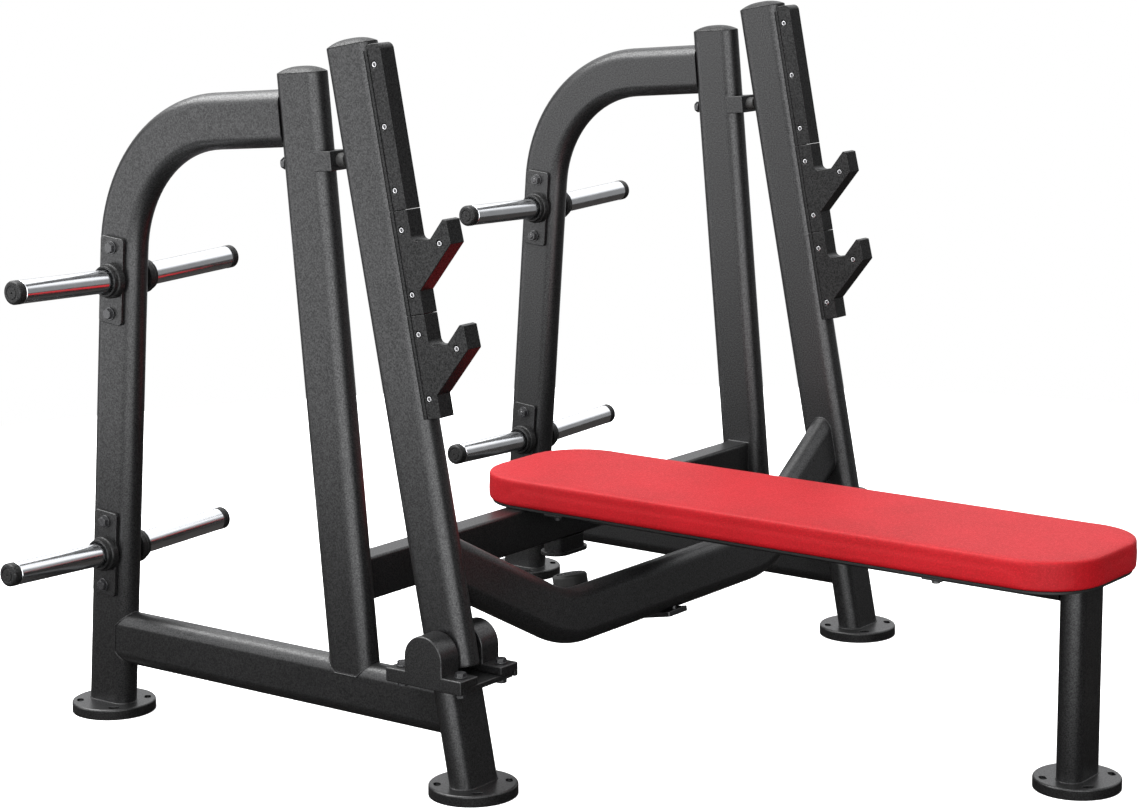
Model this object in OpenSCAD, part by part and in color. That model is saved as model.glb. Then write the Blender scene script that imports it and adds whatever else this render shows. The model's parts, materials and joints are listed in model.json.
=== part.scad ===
// Olympic bench press: two side frames with plate storage horns, a rocking
// rack with bar hooks, and a padded flat bench. Millimetres, +Z up, +X towards
// the foot end of the bench, origin on the floor under the middle.

/* [Frame] */
// distance from the middle to the centre plane of each side frame
frame_half = 625; // [560:5:660]
// long side of the flat-oval tube
tube_l = 100; // [80:1:120]
// short side of the flat-oval tube
tube_t = 50; // [40:1:60]
// wall of every steel tube
wall = 3; // [2:0.5:5]
// height of the lower rail's centre line
rail_z = 147; // [120:1:180]
// where the rear post's centre line meets the floor
post_x0 = -851; // [-900:1:-800]
// forward lean of the rear post, x per z
post_lean = 0.08; // [0:0.005:0.15]
// centre-line radius of the bend at the top of the rear post
bend_r = 265; // [180:5:320]
// where the middle post's centre line meets the floor
mid_x0 = -230.5; // [-300:0.5:-150]
// backward lean of the middle post, x per z
mid_lean = 0.09; // [0:0.005:0.2]
// height where the top of the middle post's tube ends
mid_top = 1217; // [1000:1:1400]
// height of the top beam's centre line at the middle post
beam_z = 1141; // [900:1:1300]

/* [Feet] */
// radius of the round foot discs
foot_r = 77.5; // [50:0.5:100]
// thickness of the foot discs
foot_t = 20; // [8:1:30]
// radius of the circle of floor-anchor holes
foot_hole_pcr = 62; // [40:1:80]
// radius of a floor-anchor hole
foot_hole_r = 5.5; // [3:0.5:8]
// position of the rear foot discs
rear_foot_x = -848.5; // [-900:0.5:-800]
// position of the front foot discs
front_foot_x = 16; // [-50:1:80]
// position of the bench leg and its foot disc
leg_x = 848.5; // [700:0.5:950]

/* [Plate horns] */
// outside diameter of the chrome horns
horn_d = 42; // [30:0.5:48]
// distance from the post's centre plane to the end of the chrome
horn_reach = 257; // [200:1:320]
// length of the end cap beyond the chrome
horn_cap = 18; // [14:1:40]
// upward tilt of the horns in degrees
horn_tilt = 2; // [0:0.5:6]
// height of the upper horns at the post
horn_z_hi = 822; // [700:1:950]
// height of the lower horns at the post
horn_z_lo = 310; // [250:1:450]
// horn axis in front of the post's centre line
horn_fwd = 5; // [0:1:12]

/* [Rocking rack] */
// pivot axis, forward position
pivot_x = -27.5; // [-100:0.5:50]
// pivot axis, height
pivot_z = 247; // [220:0.5:300]
// backward lean of the uprights in degrees
rack_lean = 11; // [5:0.5:15]
// length of an upright above the pivot
upright_up = 1041; // [800:1:1200]
// length of an upright below the pivot
upright_down = 24; // [20:1:60]
// half length of the cross tube's straight middle
cross_apex = 317; // [250:1:400]
// cross tube's middle, measured along the uprights from the pivot
cross_low = -14; // [-40:1:20]
// rise of the cross tube's slanted arms in degrees
cross_slope = 29.3; // [15:0.1:45]
// centre-line radius of the cross tube's bends
cross_r = 200; // [120:5:300]

/* [Bar hooks and guards] */
// width of guards and hooks
guard_w = 36; // [24:1:48]
// how far the guards stand in front of the upright's centre line
guard_u = 75.5; // [60:0.5:90]
// height of one hook segment
hook_h = 176.9; // [150:0.1:220]
// start of the lower hook segment above the pivot
hook_v0 = 399.5; // [300:0.5:600]
// distance between the two hook segments
hook_pitch = 177.5; // [160:0.5:260]
// start of the plain guard above the pivot
guard_v0 = 754.5; // [600:0.5:900]
// length of the plain guard
guard_h = 281.5; // [150:0.5:350]

/* [Bench] */
// head end of the cushion
pad_x0 = -375; // [-450:1:-300]
// length of the cushion
pad_len = 1290; // [1000:5:1400]
// width of the cushion
pad_w = 320; // [260:1:360]
// top of the cushion
pad_top = 431; // [400:1:460]
// thickness of the cushion
pad_t = 53; // [30:1:80]
// corner radius of the cushion
pad_r = 112; // [20:1:150]
// thickness of the board under the cushion
board_t = 6; // [4:1:20]

/* [Output] */
// which node to build

/* [Hidden] */
$fn = 72;
gap = 0.3;
bend_step = 0.2;
bend_lap = 2;
seat_z = pad_top - pad_t - board_t;
post_a = atan(post_lean);
mid_a = atan(mid_lean);
mid_x_beam = mid_x0 - mid_lean * beam_z;
bend_a = 90 - post_a - mid_a;
corner_z = (beam_z + mid_lean * (post_x0 - mid_x_beam)) / (1 - mid_lean * post_lean);
corner_x = post_x0 + post_lean * corner_z;
bend_t = bend_r * tan(bend_a / 2);
arc_s = [corner_x - bend_t * sin(post_a), corner_z - bend_t * cos(post_a)];
arc_e = [corner_x + bend_t * cos(mid_a), corner_z + bend_t * sin(mid_a)];
arc_c = [arc_s[0] + bend_r * cos(post_a), arc_s[1] - bend_r * sin(post_a)];
plate_l = 160;
plate_w = 57;
plate_t = 8;
collar_r = 32;
collar_face = 55;
spigot = 0.6;
slot_r = 6;
slot_l = 8;
slot_h = 4;
bolt_dz = 61;
deck_z = rail_z + tube_l / 2 + gap;
deck_t = 10;
deck_l = 160;
block_r = 41;
block_t = 47;
block_y = 54.5;
lug_l = 165;
lug_t = 15;
lug_bolt = 63.5;
skirt_t = 9;
beam_lap = 10;
bearing_r = 26;
bearing_w = 15;
shaft_r = 12.5;
race_r = 16.5;
stop_v = 1066.5;
stop_reach = 69;
buffer_reach = 85.3;
stop_x = -262;
arm_u = -225;
arm_w = 60;
arm_t = 10;
buffer_h = 30.4;
arm_v = cross_low - tube_l / 2 - gap;
guard_back = 42.6;
lip_w = 6;
lip_out = 2;
screw_u = 56.5;
core_t = 8;
xm_w = 50;
xm_h = 78;
xm_x = -264;
rail2_l = 80;
rail2_t = 40;
strap_x = [-172, 640];
strap_y = 136;
strap_t = 4;
steel = [0.16, 0.16, 0.17];
chrome = [0.8, 0.81, 0.83];
black = [0.07, 0.07, 0.075];
bright = [0.62, 0.63, 0.65];
red = [0.75, 0.09, 0.11];

// ---- shared shapes ----

// flat-oval outline, long side along x
module oval(l, t) {
  square([l - t, t], center = true);
  for (s = [-1, 1]) translate([s * (l - t) / 2, 0]) circle(d = t);
}

// rectangle with rounded corners
module round_rect(w, h, r) {
  square([w, h - 2 * r], center = true);
  square([w - 2 * r, h], center = true);
  for (i = [-1, 1], j = [-1, 1]) translate([i * (w / 2 - r), j * (h / 2 - r)]) circle(r);
}

// flat-oval tube ring
module oval_ring(l, t) {
  difference() {
    oval(l, t);
    oval(l - 2 * wall, t - 2 * wall);
  }
}

// cylinder along -y, starting at y = -y0
module rod_y(r, y0, len) {
  translate([0, -y0, 0]) rotate([90, 0, 0]) cylinder(r = r, h = len);
}

// hexagon head along -y
module hex_y(af, y0, len) {
  translate([0, -y0, 0]) rotate([90, 0, 0]) cylinder(r = af / sqrt(3), h = len, $fn = 6);
}

// left and mirrored right copy
module both() {
  children();
  mirror([0, 1, 0]) children();
}

// domed plug for the open end of a flat-oval tube, base at z = 0
module dome_cap(h, rim) {
  sag = h - rim;
  dome_r = (tube_t * tube_t / 4 + sag * sag) / (2 * sag);
  flat = tube_l - tube_t;
  rotate([90, 0, 90]) translate([0, 0, -flat / 2]) linear_extrude(flat) dome_profile(h, dome_r);
  for (a = [0, 180]) rotate([0, 0, a]) translate([flat / 2, 0, 0])
    rotate([0, 0, -90]) rotate_extrude(angle = 180)
      intersection() {
        dome_profile(h, dome_r);
        square([tube_t, h]);
      }
  translate([0, 0, -16]) linear_extrude(16) difference() {
    oval(tube_l - 2 * wall - 2 * gap, tube_t - 2 * wall - 2 * gap);
    oval(tube_l - 2 * wall - 8, tube_t - 2 * wall - 8);
  }
}

module dome_profile(h, dome_r) {
  intersection() {
    translate([-tube_t / 2, 0]) square([tube_t, h]);
    translate([0, h - dome_r]) circle(dome_r, $fn = 180);
  }
}

// ---- side frame, drawn for the left side ----

module on_post(z) {
  translate([post_x0 + post_lean * z, -frame_half, z]) rotate([0, post_a, 0]) children();
}

module on_mid(z) {
  translate([mid_x0 - mid_lean * z, -frame_half, z]) rotate([0, -mid_a, 0]) children();
}

module on_rack(v) {
  translate([pivot_x, -frame_half, pivot_z]) rotate([0, -rack_lean, 0]) translate([0, 0, v]) children();
}

module mid_envelope() {
  on_mid(0) linear_extrude(1400) oval(tube_l + 2 * gap, tube_t + 2 * gap);
}

module rail_envelope() {
  translate([-900, -frame_half, rail_z]) rotate([0, 90, 0])
    linear_extrude(1000) oval(tube_l + 2 * gap, tube_t + 2 * gap);
}

module leg_shape() {
  translate([pivot_x, -frame_half, pivot_z]) rotate([0, -rack_lean, 0]) rotate([0, 0, 90])
    translate([0, 0, -270]) linear_extrude(260) children();
}

// bends are a hair larger than the straights, which reach a little way into them
module bend(r, angle, l, t) {
  rotate_extrude(angle = angle) translate([r, 0]) oval(l + bend_step, t + bend_step);
}

// over = how far the outline runs past the cut end at the middle post
module bent_post(l, t, over) {
  straight = (arc_s[1] + 10) / cos(post_a);
  reach = (mid_x_beam - arc_e[0]) / cos(mid_a) - tube_l / 2 - gap + over;
  on_post(-10) linear_extrude(straight + bend_lap) oval(l, t);
  translate([arc_c[0], -frame_half, arc_c[1]]) rotate([90, 0, 0]) rotate([0, 0, 90 + mid_a])
    bend(bend_r, bend_a, l, t);
  translate([arc_e[0], -frame_half, arc_e[1]]) rotate([0, 90 - mid_a, 0])
    translate([0, 0, -bend_lap]) linear_extrude(reach + bend_lap) oval(l, t);
}

module rear_post() {
  difference() {
    bent_post(tube_l, tube_t, beam_lap);
    bent_post(tube_l - 2 * wall, tube_t - 2 * wall, beam_lap + 5);
    mid_envelope();
    translate([-2000, -2000, foot_t - 400]) cube([4000, 4000, 400]);
    for (z = [horn_z_lo, horn_z_hi], s = [-1, 1]) on_post(z) translate([0, 0, s * bolt_dz])
      rod_y(5.4, -tube_t, 2 * tube_t);
  }
}

module mid_post() {
  difference() {
    on_mid(rail_z) linear_extrude((mid_top - rail_z) / cos(mid_a)) oval_ring(tube_l, tube_t);
    rail_envelope();
    on_mid(stop_v) rotate([0, 90, 0]) translate([0, 0, -tube_l]) cylinder(r = 6.4, h = 2 * tube_l);
  }
}

module lower_rail() {
  x1 = pivot_x + tan(rack_lean) * (pivot_z - rail_z);
  difference() {
    translate([post_x0, -frame_half, rail_z]) rotate([0, 90, 0])
      linear_extrude(x1 - post_x0) oval_ring(tube_l, tube_t);
    on_post(0) linear_extrude(400) oval(tube_l + 2 * gap, tube_t + 2 * gap);
    leg_shape() oval(tube_l + 2 * gap, tube_t + 2 * gap);
  }
}

module front_leg() {
  intersection() {
    leg_shape() oval_ring(tube_l, tube_t);
    translate([-300, -frame_half - 100, foot_t]) cube([600, 200, deck_z - gap - foot_t]);
  }
}

module mid_cap() {
  on_mid(0) translate([0, 0, mid_top / cos(mid_a)]) dome_cap(12, 1.2);
}

module base_plate() {
  difference() {
    translate([pivot_x, -frame_half, deck_z]) linear_extrude(deck_t)
      round_rect(deck_l, 2 * (block_y + block_t / 2 - skirt_t - gap), 6);
    block_bolt_places() translate([0, 0, -50]) cylinder(r = 5.5, h = 100);
  }
}

module block_bolt_places() {
  for (i = [-1, 1], j = [-1, 1])
    translate([pivot_x + i * lug_bolt, -frame_half + j * block_y, deck_z + deck_t]) children();
}

// bearing block, dir = 1 has its bearing facing +y; a skirt on its other side hides the plate's edge
module bearing_block(y, dir) {
  translate([pivot_x, y, 0]) difference() {
    union() {
      rotate([90, 0, 0]) translate([0, 0, -block_t / 2]) linear_extrude(block_t) {
        translate([0, pivot_z]) intersection() {
          circle(block_r, $fn = 120);
          translate([-block_r, -1]) square([2 * block_r, block_r + 2]);
        }
        translate([-block_r, deck_z + deck_t]) square([2 * block_r, pivot_z - deck_z - deck_t]);
        translate([-lug_l / 2, deck_z + deck_t]) square([lug_l, lug_t]);
      }
      translate([-lug_l / 2, -dir * (block_t - skirt_t) / 2 - skirt_t / 2, deck_z])
        cube([lug_l, skirt_t, deck_t + 1]);
    }
    translate([0, dir * (block_t / 2 - bearing_w / 2 - 1), pivot_z]) rotate([90, 0, 0])
      cylinder(r = bearing_r, h = bearing_w + 2, center = true);
    translate([0, dir * 6, pivot_z]) rotate([90, 0, 0])
      cylinder(r = 18, h = 36, center = true);
    for (i = [-1, 1]) translate([i * lug_bolt, 0, deck_z]) cylinder(r = 5.5, h = 60);
  }
}

module block_bolt() {
  translate([0, 0, lug_t + gap]) cylinder(r = 11, h = 2);
  translate([0, 0, lug_t + gap + 2]) cylinder(r = 17 / sqrt(3), h = 6.4, $fn = 6);
  translate([0, 0, -deck_t - 12]) cylinder(r = 5, h = lug_t + deck_t + 14);
  translate([0, 0, -deck_t - 2 - gap]) cylinder(r = 11, h = 2);
  translate([0, 0, -deck_t - 10 - gap]) cylinder(r = 17 / sqrt(3), h = 8, $fn = 6);
}

// the four bearings of both sides: y centre of each on the left side
module bearing_places() {
  both() for (s = [-1, 1]) translate([pivot_x, -frame_half + s * (block_y - block_t / 2 + bearing_w / 2), pivot_z])
    rotate([90, 0, 0]) children();
}

module ring(r1, r2, h) {
  translate([0, 0, -h / 2]) difference() {
    cylinder(r = r1, h = h);
    translate([0, 0, -1]) cylinder(r = r2, h = h + 2);
  }
}

// ---- stop between middle post and upright ----

module on_stop() {
  on_mid(stop_v) rotate([0, 90, 0]) children();
}

module stop_block() {
  difference() {
    on_stop() translate([-17, -tube_t / 2, 10]) cube([34, tube_t, stop_reach - 10]);
    mid_envelope();
    on_stop() cylinder(r = 6.4, h = stop_reach + 1);
  }
}

module stop_buffer() {
  on_stop() translate([0, 0, stop_reach + gap]) difference() {
    cylinder(r = 12.5, h = buffer_reach - stop_reach - gap);
    translate([0, 0, -1]) cylinder(r = 6.4, h = 9);
  }
}

module stop_bolt() {
  on_stop() {
    translate([0, 0, -tube_l / 2 - 8]) cylinder(r = 6, h = tube_l / 2 + stop_reach + 14);
    translate([0, 0, -tube_l / 2 - 3.5]) cylinder(r = 12, h = 2.5);
    translate([0, 0, -tube_l / 2 - 11]) cylinder(r = 19 / sqrt(3), h = 7.5, $fn = 6);
  }
}

// ---- plate storage horns ----

// every horn of the left post: level and side (1 = outer, -1 = inner)
module horn_places() {
  for (z = [horn_z_lo, horn_z_hi], s = [1, -1]) on_post(z) mirror([0, (1 - s) / 2, 0]) children();
}

module tilt_horn() {
  translate([horn_fwd, 0, 0]) rotate([-horn_tilt, 0, 0]) children();
}

module behind_bracket() {
  translate([-100, -tube_t / 2 - plate_t - gap, -100]) cube([200, 200, 200]);
}

module horn_bracket() {
  difference() {
    translate([0, -tube_t / 2 - gap, 0]) rotate([90, 0, 0]) linear_extrude(plate_t - gap)
      round_rect(plate_w, plate_l, 7);
    for (s = [-1, 1]) translate([0, 0, s * bolt_dz]) rod_y(5.4, 0, 60);
  }
}

module horn_collar() {
  difference() {
    tilt_horn() difference() {
      union() {
        rod_y(collar_r, 25, collar_face - 33);
        rod_y(collar_r - 4, 25, collar_face - 25);
      }
      rod_y(horn_d / 2 - spigot + gap, 0, 100);
      rod_y(horn_d / 2 + 3, collar_face - 3, 10);
    }
    behind_bracket();
  }
}

// the tube steps down where it sits in its collar
module horn_tube() {
  difference() {
    tilt_horn() difference() {
      union() {
        rod_y(horn_d / 2 - spigot, 20, 60);
        rod_y(horn_d / 2, collar_face + gap, horn_reach - collar_face - gap);
      }
      rod_y(horn_d / 2 - wall, 0, horn_reach + 10);
    }
    behind_bracket();
  }
}

module horn_cap_profile() {
  r = horn_d / 2 - 0.1;
  difference() {
    union() {
      square([r, horn_cap - 6]);
      square([r - 6, horn_cap]);
      translate([r - 6, horn_cap - 6]) circle(6);
      translate([0, -18]) square([horn_d / 2 - wall - gap, 19]);
    }
    translate([10, horn_cap - 1.2]) square([2.2, 5]);
    translate([-20, -30]) square([20, 80]);
  }
}

module horn_cap_part() {
  tilt_horn() translate([0, -horn_reach - gap, 0]) rotate([90, 0, 0]) rotate_extrude() horn_cap_profile();
}

// through bolt of a bracket pair, head outside and nut inside
module bracket_bolt() {
  y0 = tube_t / 2 + plate_t + gap;
  rod_y(12, y0, 2);
  hex_y(17, y0 + 2, 6.6);
  rod_y(5, -y0 - 12, 2 * y0 + 14);
  rod_y(12, -y0 - 2, 2);
  hex_y(17, -y0 - 10, 8);
}

// ---- rocking rack ----

module upright() {
  difference() {
    on_rack(-upright_down) linear_extrude(upright_down + upright_up) oval_ring(tube_l, tube_t);
    on_rack(0) rod_y(shaft_r + gap, -tube_t, 2 * tube_t);
  }
}

module upright_cap() {
  on_rack(upright_up) dome_cap(12, 1.2);
}

module upright_plug() {
  on_rack(-upright_down - 3) {
    linear_extrude(3 - gap) oval(tube_l - 1, tube_t - 1);
    linear_extrude(10) oval(tube_l - 2 * wall - 2 * gap, tube_t - 2 * wall - 2 * gap);
  }
}

module pivot_shaft() {
  half = block_y + block_t / 2 - 16;
  translate([pivot_x, -frame_half, pivot_z]) rod_y(shaft_r, -half, 2 * half);
}

module shaft_spacer() {
  t = block_y - block_t / 2 - tube_t / 2 - 2 * gap;
  translate([pivot_x, -frame_half, pivot_z]) for (s = [-1, 1])
    translate([0, s * (tube_t / 2 + gap + t / 2), 0]) rotate([90, 0, 0]) ring(20, shaft_r + gap, t);
}

// cross tube in the plane of the uprights, y across, z up
module cross_shape(l, t) {
  half = cross_apex - cross_r * tan(cross_slope / 2);
  arm = (frame_half - cross_apex) / cos(cross_slope) - cross_r * tan(cross_slope / 2);
  translate([0, -half - bend_lap, 0]) rotate([-90, 0, 0]) linear_extrude(2 * (half + bend_lap))
    rotate([0, 0, 90]) oval(l, t);
  both() translate([0, half, cross_r]) {
    rotate([90, 0, 90]) rotate([0, 0, -90]) bend(cross_r, cross_slope, l, t);
    rotate([cross_slope, 0, 0]) translate([0, -bend_lap, -cross_r]) rotate([-90, 0, 0])
      linear_extrude(arm + bend_lap) rotate([0, 0, 90]) oval(l, t);
  }
}

module cross_tube_part() {
  translate([pivot_x, 0, pivot_z]) rotate([0, -rack_lean, 0]) difference() {
    intersection() {
      translate([0, 0, cross_low]) difference() {
        cross_shape(tube_l, tube_t);
        cross_shape(tube_l - 2 * wall, tube_t - 2 * wall);
      }
      translate([-60, -frame_half + tube_t / 2 + gap, -200])
        cube([120, 2 * (frame_half - tube_t / 2 - gap), 600]);
    }
    for (x = [-12, 12]) translate([x, 0, -100]) cylinder(r = 4.4, h = 80);
  }
}

// ---- rocker travel stop under the bench ----

module on_arm() {
  translate([pivot_x, 0, pivot_z]) rotate([0, -rack_lean, 0]) children();
}

module stop_arm_part() {
  on_arm() difference() {
    translate([(22 + arm_u - 34) / 2, 0, arm_v - arm_t]) linear_extrude(arm_t)
      round_rect(22 - arm_u + 34, arm_w, 5);
    for (x = [-12, 12]) translate([x, 0, 0]) {
      translate([0, 0, -100]) cylinder(r = 4.4, h = 60);
      translate([0, 0, arm_v - arm_t - 1]) cylinder(r = 8.5, h = 7);
    }
  }
}

module arm_riser_part() {
  on_arm() translate([arm_u, 0, arm_v + gap]) difference() {
    cylinder(r = 25, h = 47);
    translate([0, 0, -1]) cylinder(r = 22, h = 60);
  }
}

module arm_buffer_part() {
  on_arm() translate([arm_u, 0, arm_v + 2 * gap + 47]) difference() {
    union() {
      cylinder(r = 34, h = 24);
      cylinder(r = 31, h = buffer_h);
    }
    for (r = [10, 17, 24]) translate([0, 0, buffer_h - 0.6]) ring(r + 1.5, r - 1.5, 4);
  }
}

module arm_bolt() {
  translate([0, 0, arm_v - arm_t + 0.3]) cylinder(r = 13 / sqrt(3), h = 5.4, $fn = 6);
  translate([0, 0, arm_v - arm_t + 3]) cylinder(r = 4, h = arm_t + 3);
}

// ---- guards and hooks, outline in the upright's plane: x forward, y up ----

module guard_outline(h) {
  difference() {
    translate([guard_back, 0]) square([guard_u - guard_back, h]);
    translate([guard_u - 12, h - 12]) square(20);
    translate([guard_back - 8, h - 8]) square(16);
  }
  intersection() {
    translate([guard_u - 12, h - 12]) circle(12);
    translate([guard_u - 12, h - 12]) square(12);
  }
  translate([guard_back + 8, h - 8]) circle(8);
}

module hook_outline() {
  translate([guard_back, 0]) square([guard_u - guard_back, hook_h]);
  polygon([[guard_u - 5, 39], [guard_u, 39], [158.5, 109.5], [156.8, 149.5], [148.8, 152.3],
    [115, 122.4], [guard_u - 5, 122.4]]);
  difference() {
    translate([guard_u - 1, 121.4]) square(12);
    translate([guard_u + 11, 133.4]) circle(11);
  }
}

module core_outline(h, g) {
  translate([50.3, 4 - g]) square([17 + g, h - 8 + 2 * g]);
}

module hook_core_outline(g) {
  core_outline(hook_h, g);
  polygon([[60, 45 - g], [60, 112 + g], [118, 112 + g], [147 + g, 137 + g], [150 + g, 113], [75, 50 - g]]);
}

// lip along the edge of a guard that lies against the tube
module lip(v, h) {
  on_face(v, guard_w + 2 * lip_out) translate([guard_back - 2, 0]) square([lip_w, h]);
}

// turn an outline into a plate of the given thickness on the upright
module on_face(v, t) {
  on_rack(v) rotate([90, 0, 0]) translate([0, 0, -t / 2]) linear_extrude(t) children();
}

module screw_hole() {
  rotate([90, 0, 0]) {
    cylinder(r = 3.4, h = guard_w + 2, center = true);
    for (s = [-1, 1]) translate([0, 0, s * guard_w / 2]) cylinder(r = 6.2, h = 8, center = true);
  }
}

module guard_screw() {
  rotate([90, 0, 0]) {
    cylinder(r = 3, h = guard_w - 7, center = true);
    for (s = [0, 1]) mirror([0, 0, s]) translate([0, 0, guard_w / 2 - 4 + gap]) difference() {
      cylinder(r = 4.7, h = 3.2);
      translate([0, 0, 1.2]) cylinder(r = 2.4, h = 3, $fn = 6);
    }
  }
}

module guard_screw_places() {
  for (v = [33.5, 141.5, 246.5]) on_rack(guard_v0 + v) translate([screw_u, 0, 0]) children();
}

module hook_screw_places(v0) {
  for (p = [[screw_u, 34], [134, 113], [screw_u, 144]])
    on_rack(v0 + p[1]) translate([p[0], 0, 0]) children();
}

module plain_guard() {
  difference() {
    union() {
      on_face(guard_v0, guard_w) guard_outline(guard_h);
      lip(guard_v0, guard_h - 9);
    }
    on_face(guard_v0, core_t + 2 * gap) core_outline(guard_h, gap);
    on_face(guard_v0, core_t + 2 * gap) translate([guard_back - 1, 4 - gap])
      square([10, guard_h - 8 + 2 * gap]);
    on_rack(0) linear_extrude(1200) oval(tube_l + 2 * gap, tube_t + 2 * gap);
    guard_screw_places() screw_hole();
  }
}

module hook_segment(v0) {
  difference() {
    union() {
      on_face(v0, guard_w) hook_outline();
      lip(v0, hook_h);
    }
    on_face(v0, core_t + 2 * gap) hook_core_outline(gap);
    on_face(v0, core_t + 2 * gap) translate([guard_back - 1, 4 - gap])
      square([10, hook_h - 8 + 2 * gap]);
    on_rack(0) linear_extrude(1200) oval(tube_l + 2 * gap, tube_t + 2 * gap);
    hook_screw_places(v0) screw_hole();
  }
}

module guard_core() {
  difference() {
    on_face(guard_v0, core_t) core_outline(guard_h, 0);
    guard_screw_places() screw_hole();
  }
}

module hook_core(v0) {
  difference() {
    on_face(v0, core_t) hook_core_outline(0);
    hook_screw_places(v0) screw_hole();
  }
}

// ---- bench ----

module pad_outline(inset) {
  translate([pad_x0 + pad_len / 2, 0]) round_rect(pad_len - 2 * inset, pad_w - 2 * inset, pad_r - inset);
}

// ---- nodes ----

module foot_discs() {
  color(steel) {
    both() for (x = [rear_foot_x, front_foot_x]) translate([x, -frame_half, 0]) foot_disc();
    translate([leg_x, 0, 0]) foot_disc();
  }
}

module foot_disc() {
  difference() {
    rotate_extrude() {
      square([foot_r, foot_t - 4]);
      square([foot_r - 4, foot_t]);
      translate([foot_r - 4, foot_t - 4]) circle(4);
    }
    for (a = [45 : 90 : 315]) rotate([0, 0, a]) translate([foot_hole_pcr, 0, 0]) {
      translate([0, 0, -1]) cylinder(r = foot_hole_r, h = foot_t + 2);
      translate([0, 0, foot_t - slot_h]) slot_pocket();
    }
  }
}

module slot_pocket() {
  for (s = [-1, 1]) translate([0, s * slot_l / 2, 0]) cylinder(r = slot_r, h = slot_h + 1);
  translate([-slot_r, -slot_l / 2, 0]) cube([2 * slot_r, slot_l, slot_h + 1]);
}

module rear_post_l() { color(steel) rear_post(); }
module rear_post_r() { color(steel) mirror([0, 1, 0]) rear_post(); }
module mid_post_l() { color(steel) mid_post(); }
module mid_post_r() { color(steel) mirror([0, 1, 0]) mid_post(); }
module lower_rail_l() { color(steel) lower_rail(); }
module lower_rail_r() { color(steel) mirror([0, 1, 0]) lower_rail(); }
module front_leg_l() { color(steel) front_leg(); }
module front_leg_r() { color(steel) mirror([0, 1, 0]) front_leg(); }
module mid_caps() { color(black) both() mid_cap(); }
module base_plate_l() { color(steel) base_plate(); }
module base_plate_r() { color(steel) mirror([0, 1, 0]) base_plate(); }
module bearing_block_lo() { color(steel) bearing_block(-frame_half - block_y, 1); }
module bearing_block_li() { color(steel) bearing_block(-frame_half + block_y, -1); }
module bearing_block_ri() { color(steel) bearing_block(frame_half - block_y, 1); }
module bearing_block_ro() { color(steel) bearing_block(frame_half + block_y, -1); }
module block_bolts() { color(bright) both() block_bolt_places() block_bolt(); }
module bearing_outers() { color(bright) bearing_places() ring(bearing_r - gap, race_r + 0.05, bearing_w - 1); }
module bearing_inners() { color(bright) bearing_places() ring(race_r, shaft_r + gap, bearing_w - 1); }
module stop_blocks() { color(steel) both() stop_block(); }
module stop_buffers() { color(black) both() stop_buffer(); }
module stop_bolts() { color(bright) both() stop_bolt(); }
module horn_brackets() { color(steel) both() horn_places() horn_bracket(); }
module horn_collars() { color(black) both() horn_places() horn_collar(); }
module horn_tubes() { color(chrome) both() horn_places() horn_tube(); }
module horn_caps() { color(black) both() horn_places() horn_cap_part(); }

module bracket_bolts() {
  color(bright) both() for (z = [horn_z_lo, horn_z_hi], s = [-1, 1])
    on_post(z) translate([0, 0, s * bolt_dz]) bracket_bolt();
}

module upright_l() { color(steel) upright(); }
module upright_r() { color(steel) mirror([0, 1, 0]) upright(); }
module upright_caps() { color(black) both() upright_cap(); }
module upright_plugs() { color(black) both() upright_plug(); }
module pivot_shafts() { color(bright) both() pivot_shaft(); }
module shaft_spacers() { color(bright) both() shaft_spacer(); }
module cross_tube() { color(steel) cross_tube_part(); }
module stop_arm() { color(steel) stop_arm_part(); }
module arm_riser() { color(steel) arm_riser_part(); }
module arm_buffer() { color(black) arm_buffer_part(); }
module arm_bolts() { color(bright) on_arm() for (x = [-12, 12]) translate([x, 0, 0]) arm_bolt(); }
module plain_guard_l() { color(black) plain_guard(); }
module plain_guard_r() { color(black) mirror([0, 1, 0]) plain_guard(); }
module hook_upper_l() { color(black) hook_segment(hook_v0 + hook_pitch); }
module hook_upper_r() { color(black) mirror([0, 1, 0]) hook_segment(hook_v0 + hook_pitch); }
module hook_lower_l() { color(black) hook_segment(hook_v0); }
module hook_lower_r() { color(black) mirror([0, 1, 0]) hook_segment(hook_v0); }
module guard_cores() { color(steel) both() guard_core(); }
module hook_cores() { color(steel) both() for (v = [hook_v0, hook_v0 + hook_pitch]) hook_core(v); }

module guard_screws() {
  color(bright) both() {
    guard_screw_places() guard_screw();
    for (v = [hook_v0, hook_v0 + hook_pitch]) hook_screw_places(v) guard_screw();
  }
}

module rear_cross_member() {
  len = 2 * frame_half - tube_t - 2 * gap;
  color(steel) translate([xm_x - xm_w / 2, -len / 2, seat_z - xm_h]) difference() {
    cube([xm_w, len, xm_h]);
    translate([wall, -1, wall]) cube([xm_w - 2 * wall, len + 2, xm_h - 2 * wall]);
  }
}

module stop_stub() {
  z0 = seat_z - xm_h;
  color(steel) translate([stop_x, 0, 0]) rotate([0, 0, 90]) {
    translate([0, 0, z0 - 26]) linear_extrude(26 - gap) oval_ring(tube_l - 4, tube_t - 4);
    translate([0, 0, z0 - 33]) linear_extrude(7.2) oval(tube_l + 8, tube_t + 8);
  }
}

module bench_rail() {
  x0 = xm_x + xm_w / 2 + gap;
  x1 = leg_x - tube_t / 2 - gap;
  color(steel) translate([x0, 0, seat_z - rail2_t / 2]) rotate([0, 90, 0]) rotate([0, 0, 90])
    linear_extrude(x1 - x0) difference() {
      oval(rail2_l, rail2_t);
      oval(rail2_l - 2 * wall, rail2_t - 2 * wall);
    }
}

module bench_leg() {
  color(steel) translate([leg_x, 0, foot_t]) linear_extrude(seat_z - foot_t)
    rotate([0, 0, 90]) oval_ring(tube_l, tube_t);
}

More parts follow.
